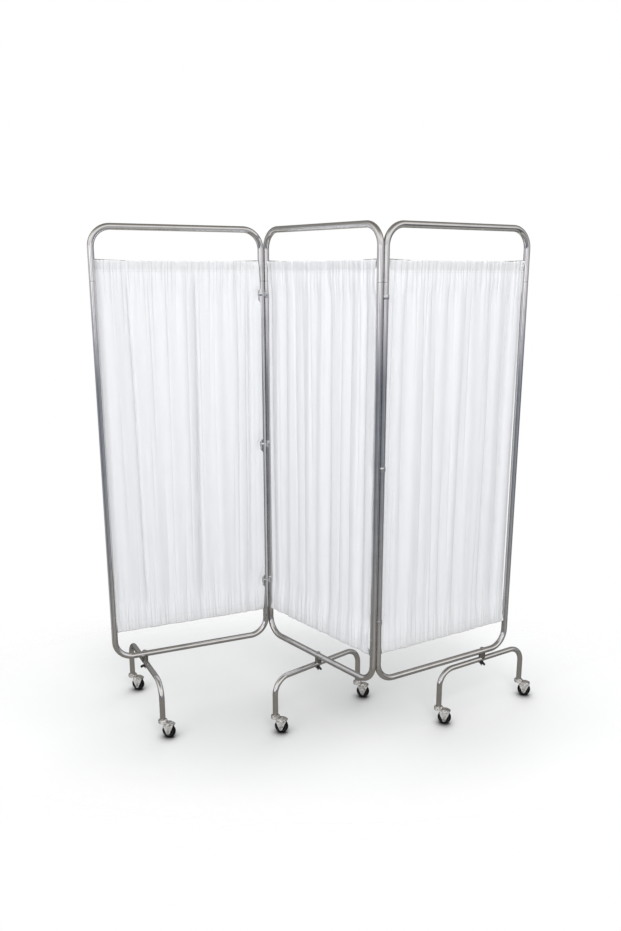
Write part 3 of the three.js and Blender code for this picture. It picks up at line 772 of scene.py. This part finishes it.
stitch = on_line * (1 - in_stitch.between(stitch_share - 0.1, stitch_share))
cloth_tone = weave.mix(crumple.between(0.3, 0.7) * 0.5 + slubs * 0.3,
                       (0.89, 0.895, 0.905), (0.835, 0.84, 0.855))
cloth_tone = weave.mix(in_casing, cloth_tone, (0.90, 0.903, 0.91))
cloth_tone = weave.mix(stitch, cloth_tone, (0.62, 0.63, 0.65))
cloth_bump = weave.bump(threads * 0.3 + picks * 0.3 + slubs * 0.3 + crumple * 3.0 + stitch * 2.0,
                        0.25, 0.0006)
cloth_face = weave.node("BsdfPrincipled", Base_Color=cloth_tone, Roughness=0.9, Normal=cloth_bump,
                        Sheen_Weight=0.25, Sheen_Roughness=0.5)
cloth_through = weave.node("BsdfTranslucent", Color=(0.88, 0.89, 0.91, 1), Normal=cloth_bump)
curtain_cloth = weave.surface(weave.node("MixShader", Fac=0.42,
                                         Shader=[cloth_face, cloth_through]))

for panel, place in panel_place.items():
    cloth, hung_length = sewn_curtain(f"{panel}_gathered_cloth",
                                      Pleats(cloth_seeds[panel], strong_folds[panel]),
                                      lapped_ends[panel])
    cloth.data.transform(place)
    dress(cloth, f"{panel}_panel", "curtain_cloth", curtain_cloth, f"{panel}_curtain")

# Three hinge brackets join two panels at each fold. A bracket is bright plated strip: a leaf
# riveted round the middle panel's upright, a collar in which the outer panel's upright turns, and
# a short web between them.
fold_spacing = 0.024
strip_wall = 0.0014
strip_gap = 0.0003
collar_height = 0.015
leaf_height = 0.028
leaf_from, leaf_to = -84, -12
rivet_angle = -40
rivet_spacing = 0.020
rivet_radius = 0.0027
rivet_height = 0.0012
rivet_profile = [(1.0, 0.0), (0.96, 0.45), (0.78, 0.8), (0.42, 1.0), (0.05, 1.06)]
web_reach = 0.0095

hinge_steel = plated("hinge_steel", (0.66, 0.66, 0.665), (0.52, 0.52, 0.52), 0.04, 0.12, 60)


def turned(profile, sides, smooth_below=35):
    """A piece turned about the Z axis, from (radius, height) pairs."""
    piece = ring(profile[0][0], (0, 0, profile[0][1]), sides)
    draw_through(profile)
    return close(piece, smooth_below)


def finish_edges(piece, width, segments=2, angle=30):
    """Rounds the sharp edges of a closed piece."""
    modify(piece, "BEVEL", width=width, segments=segments, limit_method="ANGLE",
           angle_limit=math.radians(angle), use_clamp_overlap=True)
    smooth_bends(angle)
    return piece


def join_up(pieces, name):
    begin()
    for piece in pieces:
        piece.select_set(True)
    bpy.context.view_layer.objects.active = pieces[0]
    bpy.ops.object.join()
    pieces[0].name = name
    return pieces[0]


def plate(corners, height_from, height_to):
    """A flat plate: an outline in the ground plane, drawn up from one height to another."""
    mesh = bpy.data.meshes.new("plate")
    mesh.from_pydata([(x, y, height_from) for x, y in corners], [], [list(range(len(corners)))])
    piece = put_in_scene("plate", mesh)
    take_up(piece)
    bpy.ops.object.mode_set(mode="EDIT")
    bpy.ops.mesh.select_all(action="SELECT")
    draw_out((0, 0, height_to - height_from))
    face_outward()
    return piece


def arc(radius, start, end, steps, centre=(0, 0)):
    """The points of an arc from one angle to another, in degrees."""
    angles = [math.radians(start + (end - start) * i / steps) for i in range(steps + 1)]
    return [(centre[0] + radius * math.cos(angle), centre[1] + radius * math.sin(angle))
            for angle in angles]


strip_in = tube_radius + strip_gap
strip_out = strip_in + strip_wall
collar = ring(strip_out - strip_wall / 2, (0, -fold_spacing, -collar_height / 2), 48)
draw_out((0, 0, collar_height))
face_outward()
finish_edges(modify(collar, "SOLIDIFY", thickness=strip_wall, offset=0), 0.0003)
leaf = finish_edges(plate(
    arc(strip_out, leaf_from, leaf_to, 14) + arc(strip_in, leaf_to, leaf_from, 14),
    -leaf_height / 2, leaf_height / 2), 0.0004)
web = finish_edges(plate([(0, -0.57 * fold_spacing), (web_reach, -0.62 * fold_spacing),
                          (web_reach, -0.38 * fold_spacing), (0, -0.43 * fold_spacing)],
                         -collar_height / 2, collar_height / 2), 0.0004)
rivets = []
for side in (-1, 1):
    rivet = turned([(rivet_radius * out, rivet_height * up) for out, up in rivet_profile], 20,
                   smooth_below=60)
    rivet.data.transform(
        Matrix.Translation((0, 0, side * rivet_spacing / 2))
        @ Matrix.Rotation(math.radians(rivet_angle), 4, "Z")
        @ Matrix.Translation((strip_out - 0.0001, 0, 0)) @ Matrix.Rotation(math.pi / 2, 4, "Y"))
    rivets.append(rivet)
bracket = join_up([leaf, collar, web, *rivets], "bracket")
for fold, side, turn in (("left", -1, 0), ("right", 1, math.pi)):
    for name, height in hinge_heights.items():
        spot = panel_place["middle"] @ Matrix.Translation((side * pitch / 2, 0, height)) \
            @ Matrix.Rotation(turn, 4, "Z")
        dress(copy_to(bracket, f"{fold}_{name}_bracket", spot), "middle_panel", "hinge_steel",
              hinge_steel, f"{fold}_hinge_{name}")
put_away(bracket)

# The clamp holds the foot under the bottom rail: two turned saddles, one seated on each tube, meet
# in a flat face on which the foot swivels, and a bolt through all is drawn up by a wing nut.
saddle_radius = 0.012
saddle_face = 0.22175
saddle_gap = 0.00015
foot_rail = 0.2065
foot_radius = 0.010
bolt_radius = 0.003
bolt_head_radius, bolt_head_height = 0.008, 0.0036
bolt_tip = 0.178
nut_top, nut_height = 0.1962, 0.012
nut_hub_radius = 0.007
nut_wing_reach, nut_wing_thickness = 0.019, 0.004
bolt_end, thread_turns = 0.0008, 5
dome = [(1.0, 0.0), (0.99, 0.2), (0.93, 0.48), (0.8, 0.72), (0.6, 0.88), (0.35, 0.97), (0.05, 1.0)]
wing_outline = [(0.2, 0.95), (0.72, 0.82), (0.9, 0.68), (0.98, 0.5), (1.0, 0.25), (0.95, 0.02),
                (0.84, -0.12), (0.7, -0.08), (0.5, 0.08), (0.2, 0.3)]

zinc = Finish("plain_steel")
zinc_stain = zinc.noise(120.0, 4.0)
zinc_spangle = zinc.node("TexVoronoi", "Distance", Scale=900.0,
                         Vector=zinc.node("TexCoord", "Object"))
plain_steel = zinc.principled(
    Base_Color=zinc.mix(zinc_stain, (0.36, 0.355, 0.35), (0.5, 0.49, 0.47)), Metallic=1.0,
    Roughness=zinc_stain * 0.25 + 0.22, Normal=zinc.bump(zinc_spangle, 0.15, 0.0002))

moulded = Finish("black_plastic")
moulded_grain = moulded.noise(1400.0, 3.0)
moulded_wear = moulded.noise(90.0, 4.0).between(0.5, 0.75)
black_plastic = moulded.principled(
    Base_Color=moulded.mix(moulded_wear, (0.018, 0.018, 0.019), (0.05, 0.05, 0.05)),
    Roughness=moulded_wear * 0.2 + moulded_grain * 0.1 + 0.35,
    Normal=moulded.bump(moulded_grain, 0.3, 0.0002))


def saddle(flat_height, lapped_height, tube_height, radius, along):
    """A short post with a flat face, hollowed to a tube that runs along X or Y."""
    low, high = sorted((flat_height, lapped_height))
    block = turned([(saddle_radius, low), (saddle_radius, high)], 48)
    begin()
    bpy.ops.mesh.primitive_cylinder_add(
        vertices=64, radius=radius + strip_gap, depth=0.06, location=(0, 0, tube_height),
        rotation=(math.pi / 2, 0, 0) if along == "Y" else (0, math.pi / 2, 0))
    cutter = bpy.context.object
    modify(block, "BOOLEAN", operation="DIFFERENCE", object=cutter, solver="EXACT")
    bpy.data.objects.remove(cutter)
    return finish_edges(block, 0.0005)


rail_saddle = saddle(saddle_face + saddle_gap, 0.233, bottom_rail, tube_radius, "X")
foot_saddle = saddle(saddle_face - saddle_gap, 0.208, foot_rail, foot_radius, "Y")
bolt_seat = bottom_rail + tube_radius + strip_gap
bolt_profile = [(bolt_radius * 0.6, bolt_tip), (bolt_radius * 0.95, bolt_tip + bolt_end)]
thread_top = nut_top - nut_height
thread_length = thread_top - bolt_tip - bolt_end
for i in range(thread_turns):
    low = bolt_tip + bolt_end + i * thread_length / thread_turns
    high = low + thread_length / thread_turns
    bolt_profile += [(bolt_radius, low + (high - low) * 0.35), (bolt_radius * 0.88, high)]
bolt_profile += [(bolt_radius, thread_top + 0.002), (bolt_radius, bolt_seat)]
bolt_profile += [(bolt_head_radius * out, bolt_seat + bolt_head_height * up) for out, up in dome]
clamp_bolt = turned(bolt_profile, 32, smooth_below=50)
hub = finish_edges(turned([(nut_hub_radius * 0.9, thread_top), (nut_hub_radius, nut_top - 0.009),
                           (nut_hub_radius, nut_top)], 32), 0.0006)
wings = []
for side in (-1, 1):
    wing = plate([(side * out * nut_wing_reach, up * nut_height) for out, up in wing_outline],
                 -nut_wing_thickness / 2, nut_wing_thickness / 2)
    finish_edges(wing, 0.0013, 3)
    wing.data.transform(Matrix.Translation((0, 0, thread_top))
                        @ Matrix.Rotation(math.pi / 2, 4, "X"))
    wings.append(wing)
wing_nut = join_up([hub, *wings], "wing_nut_pattern")

# The foot is one length of 20 mm tube bent to an inverted U, with a plug and a caster stem in the
# foot of each leg. It runs from its front leg to its rear one.
leg_spacing = 0.420
foot_corner = 0.060
leg_bottom = 0.069
stem_radius = 0.0042
stem_length = 0.014
plug_radius, plug_reach = 0.0080, 0.0016

stem = [(stem_radius * 0.9, 0), (stem_radius, 0.0006), (stem_radius, stem_length - plug_reach),
        (plug_radius, stem_length - plug_reach), (plug_radius, stem_length),
        (foot_radius - seam_chamfer, stem_length), (foot_radius, stem_length + seam_chamfer)]
foot_tube = bent_tube(stem, leg_bottom - stem_length, foot_rail, leg_spacing / 2, foot_corner,
                      along=(0, 1, 0), axis=(-1, 0, 0))
clamp_plate = plated("clamp_plate", (0.30, 0.29, 0.275), (0.16, 0.155, 0.15), 0.16, 0.34, 90)
for panel, place in panel_place.items():
    front, rear, clamp = (joint_place[f"{panel}_{turning}_swivel"]
                          for turning in ("front", "rear", "foot"))
    foot = turned_place(clamp, flat(rear) - flat(front)) @ Matrix.Rotation(-math.pi / 2, 4, "Z")
    rail = Matrix.Translation(flat(clamp)) @ place.to_3x3().to_4x4()
    set_out(panel, (rail_saddle, "upper_saddle", rail, "panel", "tube_chrome", clamp_plate,
                    "rail_saddle"),
            (clamp_bolt, "bolt", rail, "panel", "plain_steel", plain_steel, "clamp_bolt"),
            (foot_saddle, "lower_saddle", foot, "foot", "tube_chrome", clamp_plate, "foot_saddle"),
            (foot_tube, "bent_foot", foot, "foot", "tube_chrome", tube_chrome, "foot_tube"),
            (wing_nut, "winged_nut", foot, "nut", "black_plastic", black_plastic, "wing_nut"))
put_away(rail_saddle, clamp_bolt, foot_saddle, foot_tube, wing_nut)

# A caster turns on the stem in the leg: a plated pressing with a round bearing housing, a hood
# over the wheel and two cheeks drawn to a V round the axle. It is modelled with the stem on the Z
# axis and the wheel trailing along x.
trail = 0.023
wheel_radius, wheel_width = 0.025, 0.016
housing_radius = 0.017
housing_bottom, housing_top = 0.052, 0.0682
hood_radius, hood_wall, hood_width = 0.034, 0.0022, 0.024
hood_from, hood_to, hood_crest = 50, 118, 84
cheek_wall = 0.0018
cheek_tip_radius, cheek_tip_height = 0.006, 0.016
step_half_wall = 0.0012
axle_radius, axle_head_radius, axle_head_height = 0.003, 0.005, 0.0015
hood_shoulder = 0.0576

caster_chrome = plated("caster_chrome", (0.70, 0.69, 0.675), (0.40, 0.39, 0.375), 0.02, 0.08, 55,
                       0.0045)

housing = turned([
    (0.0050, housing_bottom + 0.002), (0.0120, housing_bottom + 0.001), (0.0150, housing_bottom),
    (0.0166, housing_bottom + 0.0012), (housing_radius, housing_bottom + 0.0035),
    (housing_radius, 0.0577), (0.0162, 0.0584), (0.0162, 0.0594), (0.0168, 0.0602),
    (0.0168, 0.0625), (0.0160, 0.0641), (0.0140, 0.0657), (0.0118, 0.0667), (0.0110, housing_top),
    (0.0062, housing_top), (0.0058, 0.0678)], 48, smooth_below=50)


def on_edge(outline, low, high, rounding):
    """A plate cut to an outline in the wheel's plane, x along the trail, and set on edge."""
    piece = finish_edges(plate(outline, low, high), rounding, 2, 40)
    piece.data.transform(Matrix.Rotation(math.pi / 2, 4, "X"))
    return piece


wheel_middle = (trail, wheel_radius)
half_hood = hood_width / 2
hood = on_edge(arc(hood_radius, hood_from, hood_crest, 18, wheel_middle)
               + [(housing_radius * 1.15, 0.0568), (housing_radius * 0.9, hood_shoulder),
                  (-0.0108, hood_shoulder), (-0.0108, housing_bottom - 0.0015)]
               + arc(hood_radius - hood_wall, hood_to, hood_from, 22, wheel_middle),
               -half_hood, half_hood, 0.0016)
cheek_outline = (arc(cheek_tip_radius, -150, -30, 8, (trail, cheek_tip_height))
                 + arc(hood_radius - hood_wall / 2, hood_from, hood_to, 16, wheel_middle)
                 + [(housing_radius * 0.28, housing_bottom - 0.010)])
out = half_hood - 0.0003
cheeks = [on_edge(cheek_outline, low, low + cheek_wall, 0.0005)
          for low in (-out, out - cheek_wall)]
# Each cheek carries a pressed step under the hood, with a scalloped lower edge
step_outline = arc(hood_radius - 0.0009, 52, 108, 14, wheel_middle) + [
    (0.0100, 0.0450), (0.0092, 0.0365), (0.0145, 0.0340), (0.0200, 0.0332),
    (0.0240, 0.0348), (0.0290, 0.0332), (0.0350, 0.0345), (0.0385, 0.0375)]
steps = [on_edge(step_outline, -step_half_wall, step_half_wall, 0.0010) for _ in range(2)]
for step, side in zip(steps, (-1, 1)):
    step.data.transform(Matrix.Translation((0, side * out, 0)))
fork = join_up([hood, *cheeks, *steps, housing], "fork_pattern")

# The wheel is a solid rubber tyre with rounded shoulders on a moulded centre with a recessed web.
# It turns on a riveted axle.
tyre_profile = [(0.0178, -0.0016), (0.0205, -0.0004), (0.0228, -0.0008), (0.0242, -0.0024),
                (0.0249, -0.0046)]
centre_profile = [(0.0032, 0), (0.0068, 0), (0.0074, -0.0006), (0.0078, -0.003),
                  (0.0158, -0.0034), (0.0166, -0.0014), (0.0180, -0.0012)]
head_profile = [(0.6, 1.0), (0.9, 0.8), (1.0, 0.35), (1.0, 0.0)]
half_wheel = wheel_width / 2
in_fork = Matrix.Translation((trail, 0, wheel_radius)) @ Matrix.Rotation(math.pi / 2, 4, "X")


def turned_alike(profile, reach, sides, smooth_below, middle=()):
    """A piece of the wheel, alike on both sides: the profile's heights are from its reach."""
    upper = [(radius, reach + height) for radius, height in profile]
    piece = turned([(radius, -height) for radius, height in upper] + [*middle] + upper[::-1],
                   sides, smooth_below)
    piece.data.transform(in_fork)
    return piece


tyre = turned_alike(tyre_profile, half_wheel, 64, 60, middle=[(wheel_radius, 0.0)])
centre = turned_alike(centre_profile, half_wheel, 48, 40)
axle = turned_alike([(axle_head_radius * out, axle_head_height * up) for out, up in head_profile]
                    + [(axle_radius, 0)], half_hood, 28, 50)

rubber = Finish("black_tyre")
rubber_dust = rubber.noise(160.0, 5.0).between(0.48, 0.8)
black_tyre = rubber.principled(
    Base_Color=rubber.mix(rubber_dust, (0.003, 0.003, 0.0035), (0.010, 0.010, 0.010)),
    Roughness=rubber_dust * 0.25 + 0.5, Specular_IOR_Level=0.1,
    Normal=rubber.bump(rubber.noise(1800.0, 2.0), 0.25, 0.0002))

for panel in panel_place:
    for end in ("front", "rear"):
        caster = f"{panel}_{end}"
        swivel = joint_place[f"{caster}_swivel"]
        spot = turned_place(swivel, joint_place[f"{caster}_roll"] - swivel)
        set_out(caster, (fork, "fork_pressing", spot, "fork", "caster_chrome", caster_chrome,
                         "caster_fork"),
                (axle, "axle", spot, "fork", "plain_steel", plain_steel, "caster_axle"),
                (tyre, "tyre", spot, "wheel", "black_tyre", black_tyre, "caster_wheel"),
                (centre, "wheel_centre", spot, "wheel", "black_tyre", black_plastic))
put_away(fork, axle, tyre, centre)
